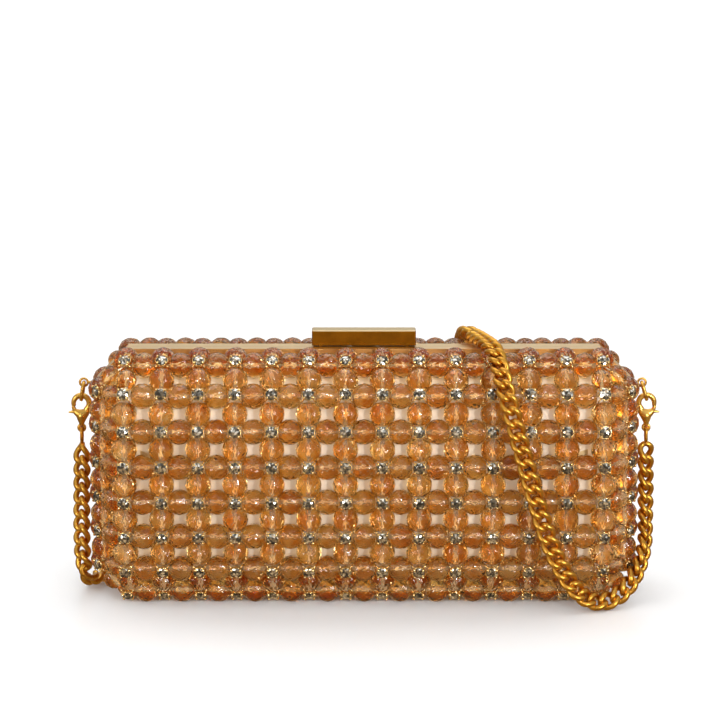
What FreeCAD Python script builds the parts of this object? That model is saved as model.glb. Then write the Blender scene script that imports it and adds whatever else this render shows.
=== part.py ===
"""Evening bag: a hard clam-shell case of two equal halves inside a net of glass beads.

Frame: +X along the bag, +Y to its back, +Z up. The front half lies at y < 0, the back half
at y > 0, and the bag stands on z = 0. Millimetres throughout.

A half is a shell with a satin cover outside and a lining inside, held in a gilt frame rim.
Round beads run from stone to stone over the shell, and from the outermost stones back to the
rim. The halves turn on two small hinges under the rims, and a sprung bar on the front rim
closes them. A chain with a lobster clasp at each end hangs from a ring at each side: it lies
over the bag from the front right to the back left.
"""
import FreeCAD, Part
import math
import os
import re

import Sketcher
from FreeCAD import Placement, Rotation, Vector

DRIVING = {
    # the net of beads
    "pitch": 12.0,                  # stone to stone along a row
    "row_pitch": 11.6,              # stone to stone down a column
    "columns": 14,
    "bead_radius": 4.0,
    "bead_half_length": 3.9,        # centre of a bead to the flat end of its bore
    "corner_bead_radius": 3.2,      # the three beads round each corner are smaller
    "corner_bead_half_length": 3.1,
    "first_row_depth": 15.0,        # parting plane to the first row of stones
    "top_tilt": 40.0,               # lean of the net from row 1 to 2, 2 to 3 and 3 to 4
    "shoulder_tilt": 12.0,
    "face_tilt": 4.0,
    "side_out": 7.8,                # end column to side column, outwards
    "side_back": 9.4,               # and back towards the rim
    "bevel_bead_shift": 0.3,        # a bead of the bevel lies this much nearer the side column
    "side_corner_depth": 15.0,      # depth of the first and last stone of a side column
    "side_lean_share": 0.3,         # how far the side stones follow the rows' lean
    "edge_lean": 64.0,              # the net's lean beyond its top and bottom rows
    "end_stone_turn": 7.0,          # how far the end columns' stones face sideways
    "side_stone_turn": 56.0,        # and the side columns'
    "rim_bead_share": 0.42,         # where a rim bead lies between the rim and its stone
    "rim_bead_lift": 0.8,           # how far the upper and side rim beads bulge beyond their stones
    # the layers under the net, measured inwards from the beads' centre lines
    "cover_out": 4.2,
    "shell_out": 4.55,
    "shell_in": 5.75,
    "lining_in": 6.25,
    "half_gap": 0.15,               # each half stands this far from the parting plane
    "lining_edge": 1.0,
    # the frame rims
    "rim_depth": 5.2,
    "rim_flange": 1.4,
    "rim_web": 1.2,
    "rim_top": 83.0,
    "rim_base": 2.0,
    "rim_half_width": 88.8,
    "rim_corner": 10.5,
    # the claw settings and their stones
    "setting_foot": 1.2,
    "setting_mouth": 2.1,
    "setting_base": 0.3,            # height of the foot over the beads' centre lines
    "setting_top": 2.9,
    "stone_radius": 1.8,
    # the two hinges
    "hinge_place": 45.0,
    "knuckle_length": 8.0,
    "knuckle_radius": 1.7,
    "knuckle_gap": 0.15,
    "notch_radius": 2.1,
    "pin_radius": 0.8,
    "pin_play": 0.04,
    "leaf_thickness": 1.0,
    # the bar clasp
    "bar_length": 34.4,
    "bar_width": 7.6,
    "bar_base": 83.9,
    "bar_top": 88.8,
    "bar_wall": 0.7,
    "bar_round": 0.5,
    "plate_length": 33.4,
    "plate_width": 3.4,
    "plate_thickness": 0.4,
    "pivot_depth": 2.2,
    "pivot_height": 84.75,
    "pivot_radius": 0.35,
    "lug_place": 14.4,
    "catch_length": 8.0,
    "catch_top": 85.2,
    # eyelet, ring, lobster clasp and link at each side
    "side_depth": 2.0,              # the side fittings lie this far in front of the parting
    "left_eye_out": 92.9,
    "right_eye_out": 92.2,
    "eye_height": 71.2,
    "eyelet_radius": 1.3,
    "eyelet_wire": 0.4,
    "ring_wire": 0.6,
    "ring_radius": 2.0,
    "ring_straight": 1.9,
    "left_lean": 9.0,
    "right_lean": 16.0,
    "lobster_thickness": 1.8,
    "lobster_head": 3.05,
    "lobster_opening": 2.1,
    "lobster_length": 8.3,
    "lobster_eye": 1.45,
    "lobster_eye_hole": 0.85,
    "ring_play": 0.3,               # the ring's wire under the top of the lobster's opening
    "lever_pivot_out": 1.9,
    "lever_pivot_down": 3.0,
    "lever_pin": 0.3,
    "link_wire": 0.5,
    "link_radius": 1.7,
    "link_straight": 1.5,
    # the chain, as a plain tube
    "chain_radius": 2.2,
}

# The chain's centre line: from the right link down, round on the ground and up the front ...
FRONT_ROUTE = [
    (93.8, -2.0, 50.5), (94.0, -2.4, 39.0), (93.7, -6.0, 27.0), (93.1, -13.0, 17.0),
    (91.2, -21.0, 8.6), (85.2, -26.5, 3.5), (76.7, -29.9, 2.5), (69.0, -33.4, 8.4),
    (61.2, -33.6, 21.5), (56.1, -33.2, 37.0), (51.3, -33.1, 53.5), (47.9, -32.7, 66.5),
    (45.0, -28.7, 77.0), (41.9, -20.9, 86.9), (38.4, -6.0, 88.9), (33.2, 8.0, 88.9),
]
# ... over the top, down the back and along the ground behind the bag ...
REAR_ROUTE = [
    (33.2, 8.0, 88.9), (30.6, 15.0, 88.9), (29.6, 25.5, 85.9), (28.5, 34.0, 76.0),
    (26.5, 36.0, 62.0), (24.3, 35.6, 47.0), (21.5, 35.2, 32.0), (16.5, 36.4, 18.0),
    (8.0, 38.4, 7.4), (-5.0, 40.0, 2.9), (-20.0, 40.6, 2.4), (-36.0, 40.0, 2.4),
    (-52.0, 38.4, 2.4), (-67.0, 35.2, 2.4), (-79.0, 27.4, 2.4), (-87.5, 15.68, 2.4),
    (-90.0, 8.0, 2.4),
]
# ... and up the left side to the left link.
LEFT_ROUTE = [
    (-90.0, 8.0, 2.4), (-91.465, 3.5, 2.4), (-93.0, -1.9, 5.6), (-93.9, -5.0, 11.6),
    (-94.2, -4.2, 21.0), (-94.1, -2.2, 35.0), (-93.8, -2.0, 50.3),
]

doc = FreeCAD.newDocument("evening_bag")
sheet = doc.addObject("Spreadsheet::Sheet", "sizes")
for line, (word, value) in enumerate(DRIVING.items(), start=1):
    sheet.set(f"A{line}", word)
    sheet.set(f"B{line}", str(value))
    sheet.setAlias(f"B{line}", word)
doc.recompute()

kept = {}

IN_FRONT_PLANE = Rotation(Vector(1, 0, 0), 90)
IN_SIDE_PLANE = Rotation(Vector(1, 1, 1), 120)
IN_GROUND_PLANE = Rotation()
ALONG_X = Rotation(Vector(0, 1, 0), 90)
ALONG_Y = Rotation(Vector(1, 0, 0), -90)


# ---------------------------------------------------------------- small helpers

def size(word):
    """A driving dimension, read from the sheet."""
    return float(sheet.get(word))


def formula(text):
    """A formula of the sheet's words, as FreeCAD writes it."""
    def full_word(found):
        return f"sizes.{found[0]}" if found[0] in DRIVING else found[0]
    return re.sub(r"[a-z_]+", full_word, text)


def bind(item, **sizes):
    """Bind properties of an object to formulas of the sheet's words."""
    for name, text in sizes.items():
        item.setExpression(name.replace("_", "."), formula(text))
    return item


def keep(name, item):
    """Name an object as a sub-part and put it on the list to write."""
    item.Label = name
    kept[name] = item
    return item


def box(low, high):
    """A box between two corners, each of three formulas."""
    item = doc.addObject("Part::Box", "box")
    bind(item, Placement_Base_x=low[0], Placement_Base_y=low[1], Placement_Base_z=low[2])
    return bind(item, Length=f"({high[0]}) - ({low[0]})", Width=f"({high[1]}) - ({low[1]})",
                Height=f"({high[2]}) - ({low[2]})")


def rod(radius, length, start, turn):
    """A cylinder from a start point, along the direction that its turn gives."""
    item = doc.addObject("Part::Cylinder", "rod")
    item.Placement = Placement(Vector(), turn)
    bind(item, Radius=radius, Height=length)
    return bind(item, Placement_Base_x=start[0], Placement_Base_y=start[1], Placement_Base_z=start[2])


def hoop(radius, wire, turn):
    """A wire ring about the origin."""
    item = doc.addObject("Part::Torus", "hoop")
    item.Placement = Placement(Vector(), turn)
    return bind(item, Radius1=radius, Radius2=wire)


def fuse(*items):
    """One solid of several."""
    item = doc.addObject("Part::MultiFuse", "fusion")
    item.Shapes = list(items)
    return item


def common(*items):
    """What several solids share."""
    item = doc.addObject("Part::MultiCommon", "overlap")
    item.Shapes = list(items)
    return item


def cut(base, *tools):
    """A solid less one or more others."""
    item = doc.addObject("Part::Cut", "cut")
    item.Base = base
    item.Tool = tools[0] if len(tools) == 1 else fuse(*tools)
    return item


def group(*items):
    """Separate solids in one sub-part."""
    item = doc.addObject("Part::Compound", "pieces")
    item.Links = list(items)
    return item


def mirrored(item, normal):
    """A mirror image through the origin."""
    image = doc.addObject("Part::Mirroring", "image")
    image.Source = item
    image.Normal = normal
    return image


def placed(shape):
    """A Part feature holding a shape made in code."""
    item = doc.addObject("Part::Feature", "shape")
    item.Shape = shape
    return item


def outline(turn, corners):
    """A closed sketch whose corners are bound to formulas."""
    sketch = doc.addObject("Sketcher::SketchObject", "outline")
    sketch.Placement = Placement(Vector(), turn)
    count = len(corners)
    around = [Vector(math.cos(2 * math.pi * i / count), math.sin(2 * math.pi * i / count), 0)
              for i in range(count)]
    for i in range(count):
        sketch.addGeometry(Part.LineSegment(around[i], around[(i + 1) % count]), False)
    for i in range(count):
        sketch.addConstraint(Sketcher.Constraint("Coincident", i, 2, (i + 1) % count, 1))
    for i, place in enumerate(corners):
        for kind, text in zip(("DistanceX", "DistanceY"), place):
            row = sketch.addConstraint(Sketcher.Constraint(kind, -1, 1, i, 1, 1.0))
            sketch.setExpression(f"Constraints[{row}]", formula(text))
    return sketch


def prism(sketch, direction, ahead, behind="0"):
    """A sketch drawn out along a direction, by so much ahead and behind."""
    item = doc.addObject("Part::Extrusion", "prism")
    item.Base = sketch
    item.DirMode = "Custom"
    item.Dir = direction
    item.Solid = True
    return bind(item, LengthFwd=ahead, LengthRev=behind)


def octagon(half_width, low, high, corner):
    """The corners of an upright octagon, in the front plane."""
    right = [(half_width, f"{low} + {corner}"), (half_width, f"{high} - ({corner})"),
             (f"{half_width} - ({corner})", high)]
    left = [(f"-({half_width} - ({corner}))", high), (f"-({half_width})", f"{high} - ({corner})"),
            (f"-({half_width})", f"{low} + {corner}")]
    return right + left + [(f"-({half_width} - ({corner}))", low), (f"{half_width} - ({corner})", low)]


# ---------------------------------------------------------------- the net's geometry

ROW_8 = "bead_radius"
RISE = "row_pitch * (cos(top_tilt) + cos(shoulder_tilt) + cos(face_tilt))"
DEPTH_2 = "(first_row_depth + row_pitch * sin(top_tilt))"
DEPTH_3 = f"({DEPTH_2} + row_pitch * sin(shoulder_tilt))"
DEPTH_4 = f"({DEPTH_3} + row_pitch * sin(face_tilt))"
ROW_5 = f"({ROW_8} + {RISE})"
ROW_6 = f"({ROW_5} - row_pitch * cos(face_tilt))"
ROW_7 = f"({ROW_6} - row_pitch * cos(shoulder_tilt))"
ROW_4 = f"({ROW_5} + row_pitch)"
ROW_3 = f"({ROW_4} + row_pitch * cos(face_tilt))"
ROW_2 = f"({ROW_3} + row_pitch * cos(shoulder_tilt))"
ROW_1 = f"({ROW_4} + {RISE})"
END_COLUMN = "((columns - 1) / 2 * pitch)"
SIDE_COLUMN = f"({END_COLUMN} + side_out)"


def profile():
    """Depth and height of each row of stones, from the top down."""
    tilts = [size("top_tilt"), size("shoulder_tilt"), size("face_tilt")]
    leans = tilts + [0.0] + [-tilt for tilt in reversed(tilts)]
    rows = [(size("first_row_depth"), 0.0)]
    for lean in leans:
        depth, height = rows[-1]
        step = size("row_pitch")
        lean = math.radians(lean)
        rows.append((depth + step * math.sin(lean), height - step * math.cos(lean)))
    lift = size("bead_radius") - rows[-1][1]
    return [(depth, height + lift) for depth, height in rows], leans


ROWS, LEANS = profile()
COLUMNS = int(size("columns"))
SIDE_COLUMNS = (0, COLUMNS + 1)


def has_stone(column, row):
    """Side columns stop one stone short at each end."""
    return 0 <= row < len(ROWS) and (column not in SIDE_COLUMNS or 0 < row < len(ROWS) - 1)


def stone_place(column, row):
    """Where the net's lines cross, on the front half."""
    depth, height = ROWS[row]
    middle = (COLUMNS + 1) / 2
    if column not in SIDE_COLUMNS:
        return Vector((column - middle) * size("pitch"), -depth, height)
    at_corner = row in (1, len(ROWS) - 2)
    depth = size("side_corner_depth") if at_corner else depth - size("side_back")
    end = (middle - 1) * size("pitch") + size("side_out")
    return Vector(math.copysign(end, column - middle), -depth, height)


def stone_direction(column, row):
    """The way a stone faces: between the net's faces above and below it, and turned at the ends."""
    leans = [size("edge_lean")] + LEANS + [-size("edge_lean")]
    share = size("side_lean_share") if column in SIDE_COLUMNS else 1.0
    up = math.radians(share * (leans[row] + leans[row + 1]) / 2)
    end, side = size("end_stone_turn"), size("side_stone_turn")
    turns = {0: -side, 1: -end, COLUMNS: end, COLUMNS + 1: side}
    aside = math.radians(turns.get(column, 0.0))
    return Vector(math.sin(aside) * math.cos(up), -math.cos(aside) * math.cos(up), math.sin(up))


def bead(centre, axis, small=False):
    """A round bead with flat ends."""
    radius = size("corner_bead_radius" if small else "bead_radius")
    half = size("corner_bead_half_length" if small else "bead_half_length")
    end = math.degrees(math.asin(half / radius))
    return Part.makeSphere(radius, centre, axis, -end, end, 360)


def bead_between(first, second, shift=0.0):
    """The bead on the thread between two stones, moved along it by a shift."""
    axis = second - first
    return bead((first + second) / 2 + axis * (shift / axis.Length), axis)


CORNER_SHIFTS = {"row": 0.2, "column": 0.75, "rim": 0.75}


def corner_bead(kind, column, row):
    """One of the three beads round a corner, moved out so that they clear each other.

    The corner is the triangle of the end column's first stone, its second stone and the
    side column's stone beside that. column and row name the first of them.
    """
    side = 0 if column == 1 else COLUMNS + 1
    beside = 1 if row == 0 else row - 1
    first, second, third = (stone_place(column, row), stone_place(column, beside),
                            stone_place(side, beside))
    ends = {"row": (second, third), "column": (first, second), "rim": (first, third)}[kind]
    middle = (ends[0] + ends[1]) / 2
    away = middle - (first + second + third) / 3
    centre = middle + away.normalize() * CORNER_SHIFTS[kind]
    if kind == "rim":
        outwards = Vector(third.x - first.x, 0, first.z - third.z)
        centre += outwards.normalize() * size("rim_bead_lift")
    return bead(centre, ends[1] - ends[0], small=True)


CORNERS = [(column, row) for column in (1, COLUMNS) for row in (0, len(ROWS) - 1)]


def row_beads():
    """Beads along the rows, from side column to side column."""
    beads = [corner_bead("row", *corner) for corner in CORNERS]
    shifts = {0: -size("bevel_bead_shift"), COLUMNS: size("bevel_bead_shift")}
    for row in range(len(ROWS)):
        for column in range(COLUMNS + 1):
            at_corner = row in (1, len(ROWS) - 2) and column in shifts
            if has_stone(column, row) and has_stone(column + 1, row) and not at_corner:
                beads.append(bead_between(stone_place(column, row), stone_place(column + 1, row),
                                          shifts.get(column, 0.0)))
    return beads


def column_beads():
    """Beads down the columns."""
    beads = [corner_bead("column", *corner) for corner in CORNERS]
    for column in range(COLUMNS + 2):
        for row in range(len(ROWS) - 1):
            at_corner = row in (0, len(ROWS) - 2) and column in (1, COLUMNS)
            if has_stone(column, row) and has_stone(column, row + 1) and not at_corner:
                beads.append(bead_between(stone_place(column, row), stone_place(column, row + 1)))
    return beads


def rim_bead(column, row, lift=Vector()):
    """The bead that runs back from an outermost stone to the rim, lifted off the line between."""
    stone = stone_place(column, row)
    web = size("rim_depth")
    depth = web + size("rim_bead_share") * (-stone.y - web)
    return bead(Vector(stone.x, -depth, stone.z) + lift, Vector(0, 1, 0))


def upper_rim_beads():
    """Rim beads along the top, the sides and the slanting corners."""
    lift = size("rim_bead_lift")
    beads = [corner_bead("rim", *corner) for corner in CORNERS]
    beads += [rim_bead(column, 0, Vector(0, 0, lift)) for column in range(1, COLUMNS + 1)]
    for column in SIDE_COLUMNS:
        aside = Vector(math.copysign(lift, column - 1), 0, 0)
        beads += [rim_bead(column, row, aside) for row in range(1, len(ROWS) - 1)]
    return beads


def base_beads():
    """Rim beads along the bottom, which the bag stands on."""
    return [rim_bead(column, len(ROWS) - 1) for column in range(1, COLUMNS + 1)]


def turned(points):
    """A solid turned about Z from points (radius, height)."""
    corners = [Vector(radius, 0, height) for radius, height in points]
    return Part.Face(Part.makePolygon(corners + corners[:1])).revolve(Vector(), Vector(0, 0, 1), 360)


def setting_shape():
    """The metal cup of a claw setting, standing on the origin."""
    foot, mouth = size("setting_foot"), size("setting_mouth")
    base, top = size("setting_base"), size("setting_top")
    seat = size("stone_radius") + 0.05
    return turned([(0, base), (foot, base), (mouth, top - 0.5), (mouth, top), (seat, top),
                   (seat, top - 0.42), (0.6, base + 0.9), (0, base + 0.9)])


def stone_shape():
    """A cut stone: point, girdle and flat table."""
    radius = size("stone_radius")
    girdle = size("setting_top") - 0.36
    return turned([(0, girdle - 1.2), (radius, girdle), (radius, girdle + 0.26),
                   (0.6 * radius, girdle + 0.86), (0, girdle + 0.86)])


def on_stones(shape):
    """A copy of a shape at every stone, facing outwards."""
    copies = []
    for column in range(COLUMNS + 2):
        for row in range(len(ROWS)):
            if has_stone(column, row):
                turn = Rotation(Vector(0, 0, 1), stone_direction(column, row))
                copy = shape.copy()
                copy.Placement = Placement(stone_place(column, row), turn)
                copies.append(copy)
    return copies


def net_pieces():
    """The front net's beads, settings and stones, each kind a group of separate solids."""
    return {
        "row_beads": placed(Part.makeCompound(row_beads())),
        "column_beads": placed(Part.makeCompound(column_beads())),
        "rim_beads": placed(Part.makeCompound(upper_rim_beads())),
        "base_beads": placed(Part.makeCompound(base_beads())),
        "stone_settings": placed(Part.makeCompound(on_stones(setting_shape()))),
        "stones": placed(Part.makeCompound(on_stones(stone_shape()))),
    }


# ---------------------------------------------------------------- a half of the case

def net_core():
    """The flat-sided body whose faces the beads' centre lines lie on.

    It is what three prisms share: the rows seen from the side, the bevelled sides seen from
    above, and the slanting corners seen from the front. It runs past the parting plane.
    """
    past = "20"
    side = [(past, ROW_1), ("-first_row_depth", ROW_1), (f"-{DEPTH_2}", ROW_2), (f"-{DEPTH_3}", ROW_3),
            (f"-{DEPTH_4}", ROW_4), (f"-{DEPTH_4}", ROW_5), (f"-{DEPTH_3}", ROW_6),
            (f"-{DEPTH_2}", ROW_7), ("-first_row_depth", ROW_8), (past, ROW_8)]
    front = f"({DEPTH_4} + 1)"
    inset = (f"({END_COLUMN} - ({front} - {DEPTH_2}) * side_out"
             f" / ({DEPTH_2} - side_corner_depth))")
    above = [(SIDE_COLUMN, past), (SIDE_COLUMN, "-side_corner_depth"), (inset, f"-{front}"),
             (f"-{inset}", f"-{front}"), (f"-{SIDE_COLUMN}", "-side_corner_depth"),
             (f"-{SIDE_COLUMN}", past)]
    upright = [(SIDE_COLUMN, ROW_7), (SIDE_COLUMN, ROW_2), (END_COLUMN, ROW_1),
               (f"-{END_COLUMN}", ROW_1), (f"-{SIDE_COLUMN}", ROW_2), (f"-{SIDE_COLUMN}", ROW_7),
               (f"-{END_COLUMN}", ROW_8), (END_COLUMN, ROW_8)]
    return common(prism(outline(IN_SIDE_PLANE, side), Vector(1, 0, 0), "100", "100"),
                  prism(outline(IN_GROUND_PLANE, above), Vector(0, 0, 1), "100", "20"),
                  prism(outline(IN_FRONT_PLANE, upright), Vector(0, -1, 0), "50", "30"))


def inside(core, distance):
    """The core's faces moved inwards."""
    item = doc.addObject("Part::Offset", "inner_body")
    item.Source = core
    item.Join = "Intersection"
    return bind(item, Value=f"-{distance}")


def in_front_of(depth):
    """Everything in front of a depth."""
    return box(("-120", "-60", "-20"), ("120", f"-{depth}", "120"))


def frame_rim(shell_body):
    """An L-shaped metal rim: a flange round the edge and a web in to the shell."""
    outer = outline(IN_FRONT_PLANE, octagon("rim_half_width", "rim_base", "rim_top", "rim_corner"))
    inner = outline(IN_FRONT_PLANE, octagon("(rim_half_width - rim_flange)", "(rim_base + rim_flange)",
                                            "(rim_top - rim_flange)", "(rim_corner - 0.6 * rim_flange)"))
    whole = prism(outer, Vector(0, -1, 0), "rim_depth", "-half_gap")
    channel = prism(inner, Vector(0, -1, 0), "rim_depth - rim_web", "1")
    notches = [rod("notch_radius", "3 * knuckle_length + 1.2",
                   (f"{side} * hinge_place - 1.5 * knuckle_length - 0.6", "0", "rim_base"), ALONG_X)
               for side in (-1, 1)]
    return cut(whole, channel, shell_body, *notches)


def layers():
    """The front half's shell, satin cover, lining and frame rim."""
    core = net_core()
    cover, shell, hollow, room = [inside(core, distance)
                                  for distance in ("cover_out", "shell_out", "shell_in", "lining_in")]
    return {
        "shell": common(cut(shell, hollow), in_front_of("half_gap")),
        "satin_cover": common(cut(cover, shell), in_front_of("rim_depth")),
        "lining": common(cut(hollow, room), in_front_of("lining_edge")),
        "frame_rim": frame_rim(shell),
    }


def keep_halves(pieces):
    """Keep each piece of the front half, and its mirror image as the back half's."""
    for name, item in pieces.items():
        keep(f"front_{name}", item)
        keep(f"back_{name}", mirrored(item, Vector(0, 1, 0)))


# ---------------------------------------------------------------- hinges

def knuckle(side, place, facing):
    """A hinge knuckle and the tongue that joins it to its leaf, on the leaf's side."""
    start = f"{side} * hinge_place + ({place} - 0.5) * knuckle_length + knuckle_gap"
    length = "knuckle_length - 2 * knuckle_gap"
    barrel = rod("knuckle_radius", length, (start, "0", "rim_base"), ALONG_X)
    near, far = ("-2.4", "-0.8") if facing < 0 else ("0.8", "2.4")
    tongue = box((start, near, "rim_base - leaf_thickness"), (f"{start} + {length}", far, "rim_base"))
    return [barrel, tongue]


def hinge_leaf(side, places, facing):
    """A leaf under a rim, with its knuckles, bored for the pin."""
    start = f"{side} * hinge_place - 1.5 * knuckle_length"
    near, far = ("-rim_depth", "-2.3") if facing < 0 else ("2.3", "rim_depth")
    plate = box((start, near, "rim_base - leaf_thickness"),
                (f"{start} + 3 * knuckle_length", far, "rim_base"))
    pieces = [plate]
    for place in places:
        pieces += knuckle(side, place, facing)
    bore = rod("pin_radius + pin_play", "3 * knuckle_length + 2",
               (f"{start} - 1", "0", "rim_base"), ALONG_X)
    return cut(fuse(*pieces), bore)


def hinges():
    """Two hinges: outer knuckles on the front leaf, the middle one on the back leaf."""
    keep("front_hinge_leaves", group(*[hinge_leaf(side, (-1, 1), -1) for side in (-1, 1)]))
    keep("back_hinge_leaves", group(*[hinge_leaf(side, (0,), 1) for side in (-1, 1)]))
    start = "{} * hinge_place - 1.5 * knuckle_length - 0.2"
    keep("hinge_pins", group(*[rod("pin_radius", "3 * knuckle_length + 0.4",
                                   (start.format(side), "0", "rim_base"), ALONG_X)
                               for side in (-1, 1)]))


# ---------------------------------------------------------------- bar clasp

def clasp_base():
    """The plate on the front rim, with two lugs for the bar's pin."""
    plate_top = "rim_top + plate_thickness"
    plate = box(("-plate_length / 2", "-plate_width - 0.3", "rim_top"),
                ("plate_length / 2", "-0.3", plate_top))
    lugs = [box((f"{side} * lug_place - 0.4", "-pivot_depth - 0.55", "rim_top"),
                (f"{side} * lug_place + 0.4", "-pivot_depth + 0.6", "pivot_height + 0.6"))
            for side in (-1, 1)]
    bore = rod("pivot_radius", "bar_length", ("-bar_length / 2", "-pivot_depth", "pivot_height"), ALONG_X)
    return cut(fuse(plate, *lugs), bore)


def clasp_catch():
    """The plate on the back rim, with the tongue that the bar's hook holds."""
    plate = box(("-plate_length / 2", "0.3", "rim_top"),
                ("plate_length / 2", "plate_width + 0.3", "rim_top + plate_thickness"))
    tongue = box(("-catch_length / 2", "1.2", "rim_top"), ("catch_length / 2", "1.8", "catch_top"))
    nose = box(("-catch_length / 2", "1.8", "catch_top - 0.5"), ("catch_length / 2", "2.3", "catch_top"))
    return fuse(plate, tongue, nose)


def clasp_bar():
    """A hollow bar with rounded top edges, a hook inside and a window in its back wall."""
    body = box(("-bar_length / 2", "-bar_width / 2", "bar_base"),
               ("bar_length / 2", "bar_width / 2", "bar_top"))
    doc.recompute()
    rounded = doc.addObject("Part::Fillet", "rounded")
    rounded.Base = body
    radius = size("bar_round")
    rounded.Edges = [(number, radius, radius) for number, edge in enumerate(body.Shape.Edges, start=1)
                     if edge.CenterOfMass.z > size("bar_base") + 1]
    hollow = box(("-bar_length / 2 + bar_wall", "-bar_width / 2 + bar_wall", "bar_base - 1"),
                 ("bar_length / 2 - bar_wall", "bar_width / 2 - bar_wall", "bar_top - bar_wall"))
    window = box(("-catch_length / 2 - 1", "0", "bar_base - 1"),
                 ("catch_length / 2 + 1", "bar_width", "catch_top + 0.3"))
    bore = rod("pivot_radius + pin_play", "bar_length + 2",
               ("-bar_length / 2 - 1", "-pivot_depth", "pivot_height"), ALONG_X)
    hook = box(("-catch_length / 2", "bar_width / 2 - bar_wall - 0.7", "catch_top + 0.3"),
               ("catch_length / 2", "bar_width / 2 - bar_wall / 2", "bar_top - bar_wall / 2"))
    return fuse(cut(rounded, hollow, window, bore), hook)


def clasp_spring():
    """The torsion spring wound round the bar's pin."""
    radius, wire, pitch, length = 0.62, 0.12, 0.5, 5.0
    helix = Part.makeHelix(pitch, length, radius)
    ring = Part.Wire(Part.makeCircle(wire, Vector(radius, 0, 0), Vector(0, 1, 0)))
    spring = placed(Part.Wire(helix).makePipeShell([ring], True, True))
    spring.Placement = Placement(Vector(5.0, -size("pivot_depth"), size("pivot_height")), ALONG_X)
    return spring


def clasp():
    """The bar and what it turns on."""
    keep("clasp_base", clasp_base())
    keep("clasp_catch", clasp_catch())
    keep("clasp_bar", clasp_bar())
    keep("clasp_pin", rod("pivot_radius", "bar_length - 0.2",
                          ("-bar_length / 2 + 0.1", "-pivot_depth", "pivot_height"), ALONG_X))
    keep("clasp_spring", clasp_spring())


# ---------------------------------------------------------------- fittings at the sides

def long_link(radius, straight, wire):
    """A wire link of two half rings and two straights, hanging from the origin in the side plane."""
    ends = []
    for turn, drop in ((0, 0.0), (180, straight)):
        half = Part.makeTorus(radius, wire, Vector(), Vector(0, 0, 1), 0, 360, 180)
        half.Placement = Placement(Vector(0, 0, -radius - drop),
                                   Rotation(Vector(1, 0, 0), turn) * Rotation(Vector(1, 1, 1), 120))
        ends.append(half)
    sides = [Part.makeCylinder(wire, straight, Vector(0, across, -radius - straight), Vector(0, 0, 1))
             for across in (-radius, radius)]
    return placed(ends[0].fuse(ends[1:] + sides).removeSplitter())


def lobster_body(out):
    """A lobster clasp's body: hook, tapering neck and eye, cut for its lever.

    The opening's centre is the origin, and the hook's gap faces out (-1 left, 1 right).
    """
    half = "lobster_thickness / 2"
    head = rod("lobster_head", "lobster_thickness", ("0", f"-{half}", "0"), ALONG_Y)
    eye = rod("lobster_eye", "lobster_thickness", ("0", f"-{half}", "-lobster_length"), ALONG_Y)
    neck = prism(outline(IN_FRONT_PLANE, [("-lobster_head", "0"), ("lobster_head", "0"),
                                          ("lobster_eye", "-lobster_length"),
                                          ("-lobster_eye", "-lobster_length")]),
                 Vector(0, -1, 0), half, half)
    opening = rod("lobster_opening", "4", ("0", "-2", "0"), ALONG_Y)
    eye_hole = rod("lobster_eye_hole", "4", ("0", "-2", "-lobster_length"), ALONG_Y)
    gap_ends = ("0.9", "5") if out > 0 else ("-5", "-0.9")
    gap = box((gap_ends[0], "-2", "-1.25"), (gap_ends[1], "2", "0.2"))
    slot = box((gap_ends[0], "-0.55", "-4.2"), (gap_ends[1], "0.55", "-1"))
    pin_hole = rod("lever_pin", "4", (f"{out} * lever_pivot_out", "-2", "-lever_pivot_down"), ALONG_Y)
    return cut(fuse(head, eye, neck), opening, eye_hole, gap, slot, pin_hole)


def lobster_lever(out):
    """The lever: a gate up to the hook's tip and a thumb tab outwards."""
    ends = [("2.15", "2.95"), ("1.9", "4.1")]
    if out < 0:
        ends = [(f"-{far}", f"-{near}") for near, far in ends]
    gate = box((ends[0][0], "-0.45", "-3.5"), (ends[0][1], "0.2", "0.1"))
    tab = box((ends[1][0], "-0.45", "-3.3"), (ends[1][1], "0.2", "-2.5"))
    pivot = (f"{out} * lever_pivot_out", "-0.45", "-lever_pivot_down")
    bore = rod("lever_pin + pin_play", "1", (pivot[0], "-0.6", pivot[2]), ALONG_Y)
    heel = rod("0.62", "0.65", pivot, ALONG_Y)
    return cut(fuse(gate, tab, heel), bore)


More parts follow.
